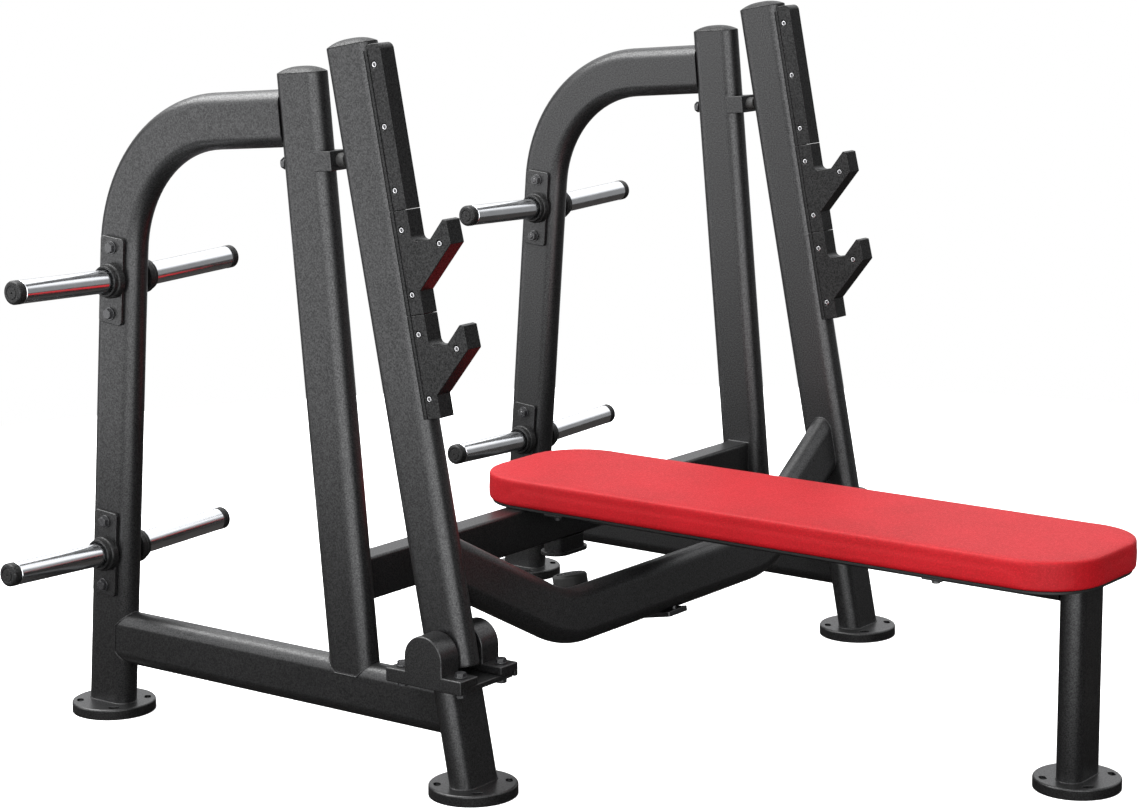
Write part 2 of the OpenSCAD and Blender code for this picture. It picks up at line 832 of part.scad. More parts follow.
module pad_straps() {
  color(steel) for (x = strap_x) difference() {
    translate([x - 20, -strap_y - 16, seat_z - strap_t]) cube([40, 2 * strap_y + 32, strap_t]);
    translate([x - 30, 0, seat_z - rail2_t / 2]) rotate([0, 90, 0]) rotate([0, 0, 90])
      linear_extrude(60) oval(rail2_l + 2 * gap, rail2_t + 2 * gap);
    for (s = [-1, 1]) translate([x, s * strap_y, 0]) cylinder(r = 4.4, h = 2 * seat_z);
  }
}

module pad_bolts() {
  color(bright) for (x = strap_x, s = [-1, 1]) translate([x, s * strap_y, seat_z - strap_t - gap]) {
    translate([0, 0, -1.6]) cylinder(r = 8, h = 1.6);
    translate([0, 0, -7]) cylinder(r = 13 / sqrt(3), h = 5.4, $fn = 6);
    translate([0, 0, -3]) cylinder(r = 4, h = strap_t + board_t + 2);
  }
}

module pad_board() {
  color(black) difference() {
    translate([0, 0, seat_z + gap]) linear_extrude(board_t - 2 * gap) pad_outline(7);
    for (x = strap_x, s = [-1, 1]) translate([x, s * strap_y, 0]) cylinder(r = 4.4, h = pad_top);
  }
}

module pad() {
  color(red) translate([0, 0, pad_top - pad_t]) linear_extrude(pad_t) pad_outline(0);
}

foot_discs();
rear_post_l();
rear_post_r();
mid_post_l();
mid_post_r();
lower_rail_l();
lower_rail_r();
front_leg_l();
front_leg_r();
mid_caps();
base_plate_l();
base_plate_r();
bearing_block_lo();
bearing_block_li();
bearing_block_ri();
bearing_block_ro();
block_bolts();
bearing_outers();
bearing_inners();
stop_blocks();
stop_buffers();
stop_bolts();
horn_brackets();
bracket_bolts();
horn_collars();
horn_tubes();
horn_caps();
upright_l();
upright_r();
upright_caps();
upright_plugs();
pivot_shafts();
shaft_spacers();
cross_tube();
stop_arm();
arm_riser();
arm_buffer();
arm_bolts();
plain_guard_l();
plain_guard_r();
hook_upper_l();
hook_upper_r();
hook_lower_l();
hook_lower_r();
guard_cores();
hook_cores();
guard_screws();
rear_cross_member();
stop_stub();
bench_rail();
bench_leg();
pad_straps();
pad_bolts();
pad_board();
pad();
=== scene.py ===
"""Looks for the olympic bench press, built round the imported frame.

Metres, in the frame's own axes: +X towards the foot end of the bench, +Z up,
left side frame at -Y. Most steel parts are the frame's own solids, some with
rounded edges; bolts, caps, horns, bearings, weld beads and the cushion are
made here.
"""
import json
import math

import bmesh
import bpy
import numpy as np
from mathutils import Matrix, Vector


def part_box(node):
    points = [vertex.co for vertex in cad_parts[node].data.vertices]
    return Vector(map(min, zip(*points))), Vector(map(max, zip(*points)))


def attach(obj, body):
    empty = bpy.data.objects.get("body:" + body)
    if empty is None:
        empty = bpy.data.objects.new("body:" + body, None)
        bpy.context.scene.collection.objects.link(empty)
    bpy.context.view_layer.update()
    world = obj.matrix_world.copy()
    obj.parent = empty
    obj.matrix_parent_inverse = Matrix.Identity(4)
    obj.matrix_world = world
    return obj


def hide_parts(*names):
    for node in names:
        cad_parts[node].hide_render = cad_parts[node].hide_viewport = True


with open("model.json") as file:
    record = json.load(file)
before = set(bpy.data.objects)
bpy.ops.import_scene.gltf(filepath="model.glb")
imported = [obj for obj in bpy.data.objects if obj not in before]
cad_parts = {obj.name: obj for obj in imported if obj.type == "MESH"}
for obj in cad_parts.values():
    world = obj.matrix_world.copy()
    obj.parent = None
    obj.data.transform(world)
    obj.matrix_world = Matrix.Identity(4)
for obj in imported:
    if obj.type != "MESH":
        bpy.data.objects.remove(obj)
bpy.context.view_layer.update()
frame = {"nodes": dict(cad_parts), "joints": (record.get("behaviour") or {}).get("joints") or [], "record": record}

# ---- sizes that the frame's boxes don't give ----
TUBE_L, TUBE_T = 0.100, 0.050
RAIL_L, RAIL_T = 0.080, 0.040
STUB_L, STUB_T = 0.096, 0.046
RACK_LEAN = math.radians(11)
POST_LEAN = math.atan(0.08)
MID_LEAN = math.atan(0.09)
CROSS_SLOPE = math.radians(29.3)
CROSS_APEX_Y, CROSS_LOW = 0.317, -0.014
GUARD_HALF, LIP_HALF, SCREW_SEAT = 0.018, 0.020, 0.0143
HORN_R = 0.021
HORN_ROOT = -0.1293
COLLAR_FACE = -0.1073
HORN_END = 0.0950
BEAD_R = 0.0014
PAD_INSET, PAD_GROWTH = 0.0008, 0.0006
FRONT_PANEL = (0.56, -0.83, -0.03)

RECORD = frame["record"]
MOUNTS = {m["name"]: m for m in RECORD["mounts"]}
SLOT = {s["node"]: s["material_slot"] for s in RECORD["subparts"]}
BODY = {n: body for body, nodes in RECORD["behaviour"]["bodies"].items() for n in nodes}
PIVOT = Vector(frame["joints"][0]["pos_m"])


def middle(node):
    low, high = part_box(node)
    return (low + high) / 2


FRAME_Y = -middle("mid_post_l").y
RAIL_Z = middle("lower_rail_l").z
FOOT_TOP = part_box("foot_discs")[1].z
DECK_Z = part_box("base_plate_l")[0].z
LEG_X = middle("bench_leg").x


# ---- materials ----

def new_material(name):
    material = bpy.data.materials.new(name)
    material.use_nodes = True
    tree = material.node_tree
    return material, tree, tree.nodes["Principled BSDF"]


def add(tree, kind, **sockets):
    """New shader node; each keyword sets an input, or links an output to it."""
    node = tree.nodes.new(kind)
    for name, value in sockets.items():
        socket = node.inputs[name.replace("_", " ")]
        if isinstance(value, bpy.types.NodeSocket):
            tree.links.new(value, socket)
        else:
            socket.default_value = value
    return node


def place(tree):
    """Position in the object's own frame, in metres."""
    return add(tree, "ShaderNodeTexCoord").outputs["Object"]


def noise(tree, scale, detail=2.0, rough=0.5):
    node = add(tree, "ShaderNodeTexNoise", Vector=place(tree), Scale=scale, Detail=detail)
    node.inputs["Roughness"].default_value = rough
    return node.outputs["Fac"]


def remap(tree, value, low, high, out_low=0.0, out_high=1.0):
    node = tree.nodes.new("ShaderNodeMapRange")
    tree.links.new(value, node.inputs["Value"])
    for name, number in zip(("From Min", "From Max", "To Min", "To Max"), (low, high, out_low, out_high)):
        node.inputs[name].default_value = number
    return node.outputs["Result"]


def mix_colour(tree, factor, first, second):
    node = tree.nodes.new("ShaderNodeMix")
    node.data_type = "RGBA"
    tree.links.new(factor, node.inputs["Factor"])
    for socket, value in ((node.inputs["A"], first), (node.inputs["B"], second)):
        if isinstance(value, bpy.types.NodeSocket):
            tree.links.new(value, socket)
        else:
            socket.default_value = (*value, 1)
    return node.outputs["Result"]


def combine(tree, operation, first, second):
    node = tree.nodes.new("ShaderNodeMath")
    node.operation = operation
    for socket, value in zip(node.inputs, (first, second)):
        if isinstance(value, bpy.types.NodeSocket):
            tree.links.new(value, socket)
        else:
            socket.default_value = value
    return node.outputs[0]


def bump(tree, shader, height, distance, strength=1.0, normal=None):
    node = tree.nodes.new("ShaderNodeBump")
    tree.links.new(height, node.inputs["Height"])
    node.inputs["Distance"].default_value = distance
    node.inputs["Strength"].default_value = strength
    if normal is not None:
        tree.links.new(normal, node.inputs["Normal"])
    tree.links.new(node.outputs["Normal"], shader.inputs["Normal"])
    return node.outputs["Normal"]


def link(tree, value, shader, name):
    tree.links.new(value, shader.inputs[name])


def textured_black(name, dark, light, gloss, grain, depth, shine):
    """Black coating with a fine pebbled texture; gloss and shine are its ranges of
    roughness and reflection, grain the texture's scale, depth its height."""
    material, tree, shader = new_material(name)
    pebble = noise(tree, grain, 3.0, 0.65)
    cloud = noise(tree, 9.0, 3.0)
    speckle = remap(tree, pebble, 0.36, 0.66)
    tone = combine(tree, "MULTIPLY", speckle, remap(tree, cloud, 0.3, 0.7, 0.75, 1.0))
    link(tree, mix_colour(tree, tone, dark, light), shader, "Base Color")
    link(tree, remap(tree, pebble, 0.3, 0.7, *gloss), shader, "Roughness")
    link(tree, remap(tree, pebble, 0.34, 0.68, *shine), shader, "Specular IOR Level")
    peel = bump(tree, shader, noise(tree, grain * 0.3, 1.0), depth * 1.2, 0.12)
    bump(tree, shader, pebble, depth, 0.8, peel)
    return material


def chrome_plate():
    material, tree, shader = new_material("chrome_plate")
    shader.inputs["Metallic"].default_value = 1.0
    haze = noise(tree, 38.0, 4.0)
    link(tree, mix_colour(tree, haze, (0.73, 0.75, 0.78), (0.86, 0.87, 0.88)), shader, "Base Color")
    link(tree, remap(tree, haze, 0.3, 0.75, 0.13, 0.24), shader, "Roughness")
    bump(tree, shader, noise(tree, 700.0, 2.0), 0.00002, 0.5)
    return material


def ground_steel(name, tint, gloss):
    material, tree, shader = new_material(name)
    shader.inputs["Metallic"].default_value = 1.0
    turning = noise(tree, 900.0, 3.0, 0.7)
    shade = tuple(c * 0.72 for c in tint)
    link(tree, mix_colour(tree, turning, shade, tint), shader, "Base Color")
    link(tree, remap(tree, turning, 0.3, 0.7, *gloss), shader, "Roughness")
    bump(tree, shader, turning, 0.00003, 0.6)
    return material


def soft_rubber():
    material, tree, shader = new_material("soft_rubber")
    bloom = noise(tree, 60.0, 5.0, 0.65)
    link(tree, mix_colour(tree, bloom, (0.010, 0.010, 0.010), (0.032, 0.031, 0.030)), shader, "Base Color")
    link(tree, remap(tree, bloom, 0.3, 0.7, 0.5, 0.72), shader, "Roughness")
    bump(tree, shader, noise(tree, 1600.0, 2.0), 0.00006, 0.6)
    return material


def red_vinyl():
    """Upholstery vinyl: small irregular leather cells over a soft mottle."""
    material, tree, shader = new_material("red_vinyl")
    at = place(tree)
    wander = add(tree, "ShaderNodeTexNoise", Vector=at, Scale=160.0, Detail=2.0)
    shifted = tree.nodes.new("ShaderNodeVectorMath")
    shifted.operation = "MULTIPLY_ADD"
    tree.links.new(wander.outputs["Color"], shifted.inputs[0])
    shifted.inputs[1].default_value = (0.0022, 0.0022, 0.0022)
    tree.links.new(at, shifted.inputs[2])
    cells = add(tree, "ShaderNodeTexVoronoi", Vector=shifted.outputs["Vector"], Scale=520.0)
    cells.feature = "DISTANCE_TO_EDGE"
    grain = remap(tree, cells.outputs["Distance"], 0.0, 0.28)
    mottle = noise(tree, 270.0, 3.0, 0.7)
    wear = noise(tree, 5.5, 3.0)
    tone = combine(tree, "MULTIPLY", grain, remap(tree, mottle, 0.40, 0.60, 0.20, 1.0))
    base = mix_colour(tree, tone, (0.22, 0.0012, 0.0030), (0.46, 0.0052, 0.0120))
    link(tree, mix_colour(tree, remap(tree, wear, 0.35, 0.75, 0.0, 0.35), base, (0.46, 0.0065, 0.0140)),
         shader, "Base Color")
    link(tree, remap(tree, tone, 0.0, 1.0, 0.60, 0.44), shader, "Roughness")
    shader.inputs["Specular IOR Level"].default_value = 0.20
    creases = bump(tree, shader, grain, 0.00016, 0.65)
    bump(tree, shader, mottle, 0.00010, 0.5, creases)
    return material


def floor_paint():
    """Pale floor that shows white; to other rays it is dull, and clears away towards the front panel."""
    material = bpy.data.materials.new("studio_floor")
    material.use_nodes = True
    tree = material.node_tree
    tree.nodes.clear()
    tone = mix_colour(tree, noise(tree, 1.3, 2.0), (0.86, 0.86, 0.86), (0.90, 0.90, 0.90))
    pale = add(tree, "ShaderNodeBsdfDiffuse", Color=tone)
    lift = add(tree, "ShaderNodeEmission", Color=(1, 1, 1, 1), Strength=0.62)
    seen = tree.nodes.new("ShaderNodeAddShader")
    tree.links.new(pale.outputs["BSDF"], seen.inputs[0])
    tree.links.new(lift.outputs["Emission"], seen.inputs[1])
    dull = add(tree, "ShaderNodeBsdfDiffuse", Color=(0.026, 0.024, 0.023, 1))
    clear = add(tree, "ShaderNodeBsdfTransparent", Color=(1, 1, 1, 1))
    out = remap(tree, reach_along(tree, place(tree), FRONT_PANEL), 0.85, 2.5)
    out.node.interpolation_type = "SMOOTHSTEP"
    open_front = tree.nodes.new("ShaderNodeMixShader")
    tree.links.new(out, open_front.inputs["Fac"])
    tree.links.new(dull.outputs["BSDF"], open_front.inputs[1])
    tree.links.new(clear.outputs["BSDF"], open_front.inputs[2])
    tree.nodes.new("ShaderNodeOutputMaterial")
    split_by_ray(tree, open_front.outputs["Shader"], seen.outputs["Shader"], "Material Output")
    return material


def reach_along(tree, vector, aim):
    """How far a vector reaches along the direction aim."""
    dot = tree.nodes.new("ShaderNodeVectorMath")
    dot.operation = "DOT_PRODUCT"
    tree.links.new(vector, dot.inputs[0])
    dot.inputs[1].default_value = Vector(aim).normalized()
    return dot.outputs["Value"]


def split_by_ray(tree, others, camera_sees, output):
    """Send one shader to the camera's own rays and another to all the rest."""
    mix = tree.nodes.new("ShaderNodeMixShader")
    tree.links.new(tree.nodes.new("ShaderNodeLightPath").outputs["Is Camera Ray"], mix.inputs["Fac"])
    tree.links.new(others, mix.inputs[1])
    tree.links.new(camera_sees, mix.inputs[2])
    tree.links.new(mix.outputs["Shader"], tree.nodes[output].inputs["Surface"])


MATERIAL = {
    "frame_paint": textured_black("powder_coat", (0.0022, 0.0022, 0.0023), (0.0165, 0.0165, 0.0168),
                                  (0.40, 0.28), 390.0, 0.00010, (0.33, 0.69)),
    "cap_plastic": textured_black("moulded_plastic", (0.004, 0.004, 0.004), (0.020, 0.020, 0.020),
                                  (0.46, 0.34), 380.0, 0.00006, (0.12, 0.34)),
    "guard_plastic": textured_black("guard_polymer", (0.002, 0.002, 0.002), (0.013, 0.013, 0.013),
                                    (0.40, 0.28), 380.0, 0.00010, (0.12, 0.34)),
    "bolt_black": textured_black("black_plated", (0.010, 0.010, 0.011), (0.036, 0.036, 0.038),
                                 (0.34, 0.22), 900.0, 0.00003, (0.5, 0.9)),
    "board_black": textured_black("board_cover", (0.003, 0.003, 0.003), (0.012, 0.012, 0.012),
                                  (0.62, 0.46), 700.0, 0.00006, (0.3, 0.5)),
    "buffer_rubber": soft_rubber(),
    "horn_chrome": chrome_plate(),
    "screw_steel": ground_steel("socket_screw", (0.66, 0.66, 0.67), (0.24, 0.36)),
    "bearing_steel": ground_steel("bearing_race", (0.70, 0.71, 0.73), (0.14, 0.26)),
    "vinyl_red": red_vinyl(),
}


# ---- meshes ----

def show(name, bm, node=None, body=None, slot=None, crease=32.0, weighted=True):
    """Turn mesh code into a piece, smooth but for its creases, and tie it to the frame."""
    bmesh.ops.recalc_face_normals(bm, faces=bm.faces)
    limit = math.radians(crease)
    for face in bm.faces:
        face.smooth = True
    for edge in bm.edges:
        edge.smooth = not edge.is_manifold or edge.calc_face_angle(0.0) < limit
    mesh = bpy.data.meshes.new(name)
    bm.to_mesh(mesh)
    bm.free()
    piece = bpy.data.objects.new(name, mesh)
    bpy.context.scene.collection.objects.link(piece)
    slot = slot or SLOT[node]
    mesh.materials.append(MATERIAL[slot])
    if weighted:
        normals = piece.modifiers.new("flat_faces", "WEIGHTED_NORMAL")
        normals.keep_sharp = True
    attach(piece, body or BODY[node])
    if node:
        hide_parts(node)
    return piece


def welded(node):
    """Mesh of a frame node with its split vertices joined again."""
    bm = bmesh.new()
    bm.from_mesh(frame["nodes"][node].data)
    bmesh.ops.remove_doubles(bm, verts=bm.verts, dist=1e-5)
    return bm


def softened(node, width, wanted=None, segments=3):
    """A frame node with its hard edges rounded by width."""
    bm = welded(node)
    bmesh.ops.dissolve_limit(bm, angle_limit=math.radians(0.4), verts=bm.verts, edges=bm.edges)
    if width:
        hard = math.radians(38)
        edges = [e for e in bm.edges if e.is_manifold and e.is_convex and e.calc_face_angle(0.0) > hard]
        if wanted:
            edges = [e for e in edges if wanted(*(v.co for v in e.verts))]
        bmesh.ops.bevel(bm, geom=edges, offset=width, segments=segments, profile=0.5,
                        affect="EDGES", clamp_overlap=False)
    return show(node + "_finished", bm, node)


def islands(node):
    """The separate solids of a frame node, as arrays of points."""
    bm = welded(node)
    bm.verts.index_update()
    left, groups = set(bm.verts), []
    while left:
        stack, group = [left.pop()], []
        while stack:
            vertex = stack.pop()
            group.append(tuple(vertex.co))
            for edge in vertex.link_edges:
                other = edge.other_vert(vertex)
                if other in left:
                    left.remove(other)
                    stack.append(other)
        groups.append(np.array(group))
    bm.free()
    return groups


def aimed(origin, axis):
    """Matrix at origin whose z runs along axis."""
    return Matrix.Translation(origin) @ Vector(axis).to_track_quat("Z", "Y").to_matrix().to_4x4()


def turned(bm, at, level, reach, angles):
    """Ring of vertices at a level; reach gives the radius at each angle."""
    return [bm.verts.new(at @ Vector((reach(a) * math.cos(a), reach(a) * math.sin(a), level(a))))
            for a in angles]


def full_turn(steps):
    """Angles of equal steps round a circle."""
    return [2 * math.pi * i / steps for i in range(steps)]


def ring_between(bm, lower, upper):
    """Faces between two rings of as many vertices."""
    count = len(lower)
    for i in range(count):
        j = (i + 1) % count
        bm.faces.new((lower[i], lower[j], upper[j], upper[i]))


def lathe(bm, profile, at, steps=96):
    """Turn (radius, height) points round z. A radius of 0 closes an end."""
    rings = []
    for radius, height in profile:
        if radius <= 0:
            rings.append([bm.verts.new(at @ Vector((0, 0, height)))])
            continue
        rings.append(turned(bm, at, lambda a: height, lambda a: radius, full_turn(steps)))
    for lower, upper in zip(rings, rings[1:]):
        if len(lower) == 1 and len(upper) == 1:
            continue
        if len(lower) == 1:
            for i in range(steps):
                bm.faces.new((lower[0], upper[(i + 1) % steps], upper[i]))
        elif len(upper) == 1:
            for i in range(steps):
                bm.faces.new((lower[i], lower[(i + 1) % steps], upper[0]))
        else:
            ring_between(bm, lower, upper)


def arc(cx, cy, radius, start, end, steps=6):
    """Points of a circular arc in a profile, angles in degrees."""
    angles = [math.radians(start + (end - start) * i / steps) for i in range(steps + 1)]
    return [(cx + radius * math.cos(a), cy + radius * math.sin(a)) for a in angles]


def closed_ring(bm, inner, outer, low, high, at, edge=0.0006, steps=64):
    """A flat ring with rounded edges, such as a washer or a bearing race."""
    profile = [(inner, low + edge), (inner + edge, low)]
    profile += arc(outer - edge, low + edge, edge, -90, 0, 3)
    profile += arc(outer - edge, high - edge, edge, 0, 90, 3)
    profile += [(inner + edge, high), (inner, high - edge), (inner, low + edge)]
    lathe(bm, profile, at, steps)
    bmesh.ops.remove_doubles(bm, verts=bm.verts, dist=1e-7)


def hex_radius(angle, flat):
    """Distance to the side of a hexagon, flat from centre to side."""
    return flat / math.cos((angle + math.pi / 6) % (math.pi / 3) - math.pi / 6)


def hexagon(bm, across, height, at, bore=0.0, steps=72):
    """Bolt head or nut: a hexagon whose corners are turned off at its top."""
    flat = across / 2
    crown = flat * 0.985
    slope = math.tan(math.radians(25))

    def ring(radius, level):
        return turned(bm, at, level, radius, full_turn(steps))

    def corner(a):
        return height - (hex_radius(a, flat) - crown) * slope

    rings = [ring(lambda a: hex_radius(a, flat), lambda a: 0.0),
             ring(lambda a: hex_radius(a, flat), corner),
             ring(lambda a: crown, lambda a: height)]
    if bore:
        rings += [ring(lambda a: bore + 0.0006, lambda a: height),
                  ring(lambda a: bore, lambda a: height - 0.0006),
                  ring(lambda a: bore, lambda a: 0.0)]
        rings.append(rings[0])
    else:
        rings.append(ring(lambda a: crown * 0.62, lambda a: height + 0.00005))
        rings.append(ring(lambda a: crown * 0.5, lambda a: height - 0.0002))
        bm.faces.new(rings[-1])
        bm.faces.new(rings[0][::-1])
    for lower, upper in zip(rings, rings[1:]):
        ring_between(bm, lower, upper)


def thread(bm, radius, length, at, pitch=0.0015):
    """Threaded bolt end: a helix cut into a rod, chamfered at its tip."""
    around, rows_per_turn = 36, 4
    depth = pitch * 0.45
    rows = max(1, round(length / pitch)) * rows_per_turn
    grid = []
    for row in range(rows + 1):
        height = length * row / rows
        tip = max(0.0, height - length + pitch) * 0.8

        def crest(a):
            phase = (height / pitch - a / (2 * math.pi)) % 1.0
            return radius - depth * abs(2 * phase - 1) - tip

        grid.append(turned(bm, at, lambda a: height, crest, full_turn(around)))
    for lower, upper in zip(grid, grid[1:]):
        ring_between(bm, lower, upper)
    bm.faces.new(grid[0][::-1])
    bm.faces.new(grid[-1])


def sweep(bm, path, radius, sides=8, ripple=0.0026, swell=0.16):
    """Closed bead along a path of points, with the ripples of a hand-run weld."""
    count = len(path)
    travelled, rings = 0.0, []
    for i, point in enumerate(path):
        before, after = path[i - 1], path[(i + 1) % count]
        along = (after - before).normalized()
        side = along.orthogonal().normalized()
        if rings:
            side = (last_side - along * last_side.dot(along)).normalized()
        last_side = side
        other = along.cross(side)
        size = radius * (1 + swell * math.sin(2 * math.pi * travelled / ripple))
        rings.append([bm.verts.new(point + (side * math.cos(a) + other * math.sin(a)) * size)
                      for a in full_turn(sides)])
        travelled += (after - point).length
    for lower, upper in zip(rings, rings[1:]):
        ring_between(bm, lower, upper)
    shift = min(range(sides), key=lambda k: (rings[0][k].co - rings[-1][0].co).length)
    start = rings[0][shift:] + rings[0][:shift]
    ring_between(bm, rings[-1], start)


# ---- where the tubes run: the x of each centre line at a height ----

def post_x(z):
    low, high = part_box("rear_post_l")
    return low.x + TUBE_L / 2 / math.cos(POST_LEAN) + (z - low.z) * math.tan(POST_LEAN)


def mid_x(z):
    low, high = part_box("mid_post_l")
    return high.x - TUBE_L / 2 / math.cos(MID_LEAN) - (z - low.z) * math.tan(MID_LEAN)


def leg_x(z):
    """Centre line of a front leg, in line with the rack's upright."""
    return PIVOT.x + math.tan(RACK_LEAN) * (PIVOT.z - z)


def oval(length, thick, step=0.0013):
    """Points round a flat oval, long side first."""
    half, radius = (length - thick) / 2, thick / 2
    line = max(2, round(2 * half / step))
    bend = max(8, round(math.pi * radius / step))
    points = [(-half + 2 * half * i / line, -radius) for i in range(line)]
    turn = [math.pi * i / bend for i in range(bend)]
    points += [(half + radius * math.sin(a), -radius * math.cos(a)) for a in turn]
    return points + [(-x, -y) for x, y in points]


def rectangle(width, height, step=0.0013):
    """Points round a rectangle."""
    count_w, count_h = round(width / step), round(height / step)
    side_w = [(-width / 2 + width * i / count_w, -height / 2) for i in range(count_w)]
    side_h = [(width / 2, -height / 2 + height * i / count_h) for i in range(count_h)]
    points = side_w + side_h
    return points + [(-x, -y) for x, y in points]


# ---- pieces ----

def steelwork():
    """Frame and rack steel and the pad's board. A width of 0 leaves the edges as they are."""
    for side in "lr":
        for part in ("rear_post", "mid_post", "lower_rail", "front_leg", "upright"):
            softened(f"{part}_{side}", 0)
        softened(f"base_plate_{side}", 0.0014)
    for block in ("lo", "li", "ri", "ro"):
        softened(f"bearing_block_{block}", 0.0025)
    for tube in ("cross_tube", "bench_leg", "bench_rail"):
        softened(tube, 0)
    softened("rear_cross_member", 0.006, lambda a, b: (a - b).length > 0.5, 5)
    for node, width in (("horn_brackets", 0.0015), ("foot_discs", 0.0006), ("stop_blocks", 0.0012),
                        ("stop_arm", 0.001), ("arm_riser", 0), ("stop_stub", 0.0009),
                        ("pad_straps", 0.0008), ("pad_board", 0.0012), ("upright_plugs", 0.0006)):
        softened(node, width)


def guards():
    """Polymer guards and bar hooks, rounded only round the outer faces of body and lip."""

    def outside(a, b):
        depth = [abs(abs(p.y) - FRAME_Y) for p in (a, b)]
        return any(all(abs(d - half) < 0.0002 for d in depth) for half in (GUARD_HALF, LIP_HALF))

    for side in "lr":
        for part in ("plain_guard", "hook_upper", "hook_lower"):
            softened(f"{part}_{side}", 0.0012, outside)
    steel, shade_discs = bmesh.new(), bmesh.new()
    for points in islands("guard_screws"):
        centre = Vector((points.min(0) + points.max(0)) / 2)
        for face in (-1, 1):
            at = aimed(centre + Vector((0, face * SCREW_SEAT, 0)), (0, face, 0))
            socket_head(steel, at, 0.0047, 0.0034, 0.0029, 0.0022)
            # black disc at the bottom of each screw socket: painted shade standing in for the shadow inside the
            # socket
            lathe(shade_discs, [(0, 0.0008), (0.0030, 0.0008), (0.0030, 0.0014), (0, 0.0014)], at, 24)
    show("socket_screws", steel, "guard_screws")
    # the socket discs are painted shade, in the black plated finish
    show("socket_shade_discs", shade_discs, body="rack", slot="bolt_black")


def socket_head(bm, at, radius, height, socket, depth, steps=48):
    """Round screw head with a hexagon socket, given from centre to side."""
    outline = [(lambda a: radius, 0.0), (lambda a: radius, height - 0.0007),
               (lambda a: radius - 0.0002, height - 0.0002), (lambda a: radius - 0.0008, height),
               (lambda a: hex_radius(a, socket) + 0.0003, height),
               (lambda a: hex_radius(a, socket), height - 0.0003),
               (lambda a: hex_radius(a, socket), height - depth)]
    rings = [turned(bm, at, lambda a: level, reach, full_turn(steps)) for reach, level in outline]
    for lower, upper in zip(rings, rings[1:]):
        ring_between(bm, lower, upper)
    bm.faces.new(rings[0][::-1])
    bm.faces.new(rings[-1])


def tube_caps():
    """Domed plugs in the open tops of the posts and uprights."""
    rim, sag = 0.0012, 0.0105
    edge = oval(TUBE_L - 0.0006, TUBE_T - 0.0006, 0.003)
    for node, lean in (("mid_caps", MID_LEAN), ("upright_caps", RACK_LEAN)):
        up = Vector((-math.sin(lean), 0, math.cos(lean)))
        along = Vector((math.cos(lean), 0, math.sin(lean)))
        bm = bmesh.new()
        for points in islands(node):
            reach = [Vector(p).dot(up) for p in points]
            spread = [Vector(p).dot(along) for p in points]
            y = (points[:, 1].min() + points[:, 1].max()) / 2
            base = up * (max(reach) - 0.012) + along * ((max(spread) + min(spread)) / 2) + Vector((0, y, 0))
            levels = [(0.99, -0.0010), (0.985, 0.0), (0.994, 0.0003), (1.0, 0.0008), (1.0, rim)]
            levels += [(1 - 0.05 * i, rim + sag * (1 - (1 - 0.05 * i) ** 2.5)) for i in range(1, 20)]
            rings = [[bm.verts.new(base + along * (u * k) + Vector((0, v * k, 0)) + up * h) for u, v in edge]
                     for k, h in levels]
            for lower, upper in zip(rings, rings[1:]):
                ring_between(bm, lower, upper)
            bm.faces.new(rings[0][::-1])
            bm.faces.new(rings[-1])
        show(node + "_domed", bm, node)


def horn_frames():
    """Matrix at each horn, z outwards along it."""
    for name, mount in MOUNTS.items():
        if name.startswith("horn_"):
            yield aimed(Vector(mount["pos_m"]), mount["axis"])


def horns():
    """Chrome horns with their stepped collars and end caps."""
    face, shoulder = COLLAR_FACE, COLLAR_FACE - 0.008
    collar = [(HORN_R, HORN_ROOT), (0.0320, HORN_ROOT), (0.0320, shoulder - 0.0040)]
    collar += arc(0.0280, shoulder - 0.0040, 0.0040, 0, 90, 8) + [(0.0284, shoulder)]
    collar += arc(0.0268, face - 0.0012, 0.0012, 0, 90, 5) + arc(0.0252, face - 0.0012, 0.0012, 90, 180, 5)
    collar += [(0.0238, face - 0.0045)] + arc(0.0229, face - 0.0030, 0.0007, 0, 180, 5)
    collar += [(0.0215, face - 0.0060), (HORN_R, face - 0.0060)]
    tube = [(HORN_R - 0.003, HORN_ROOT), (HORN_R, HORN_ROOT), (HORN_R, HORN_END - 0.0006)]
    tube += [(HORN_R - 0.0006, HORN_END), (HORN_R - 0.003, HORN_END)]
    cap_r, top = 0.0214, HORN_END + 0.0180
    cap = [(0, HORN_END - 0.016), (HORN_R - 0.0035, HORN_END - 0.016), (HORN_R - 0.0035, HORN_END)]
    cap += [(cap_r - 0.0014, HORN_END), (cap_r - 0.0014, HORN_END + 0.0010), (cap_r, HORN_END + 0.0018)]
    cap += arc(cap_r - 0.0056, top - 0.0056, 0.0056, 0, 88, 10)
    cap += [(0.0132, top), (0.0127, top - 0.0010), (0.0118, top - 0.0013)]
    cap += [(0.0109, top - 0.0010), (0.0104, top)]
    cap += [(0.0032, top + 0.0001), (0.0018, top - 0.0002), (0.0015, top - 0.0022), (0, top - 0.0024)]
    for node, profile in (("horn_collars", collar), ("horn_tubes", tube), ("horn_caps", cap)):
        bm = bmesh.new()
        for at in horn_frames():
            lathe(bm, profile, at)
        show(node + "_turned", bm, node)


def bolt(bm, at, grip, size, across, head, washer, nut=0.0, tail=0.0):
    """Bolt through grip, head up z, with washers and, if nut is set, a nut below."""
    thick = 0.002
    closed_ring(bm, size * 0.52, washer, 0.0, thick, at, 0.0005)
    hexagon(bm, across, head, at @ Matrix.Translation((0, 0, thick)))
    under = at @ Matrix.Translation((0, 0, -grip)) @ Matrix.Rotation(math.pi, 4, "X")
    if nut:
        closed_ring(bm, size * 0.52, washer, 0.0, thick, under, 0.0005)
        hexagon(bm, across, nut, under @ Matrix.Translation((0, 0, thick)), size / 2)
        thread(bm, size / 2, tail, under @ Matrix.Translation((0, 0, thick)))
    else:
        downward = at @ Matrix.Translation((0, 0, thick / 2)) @ Matrix.Rotation(math.pi, 4, "X")
        thread(bm, size / 2, grip + tail, downward)


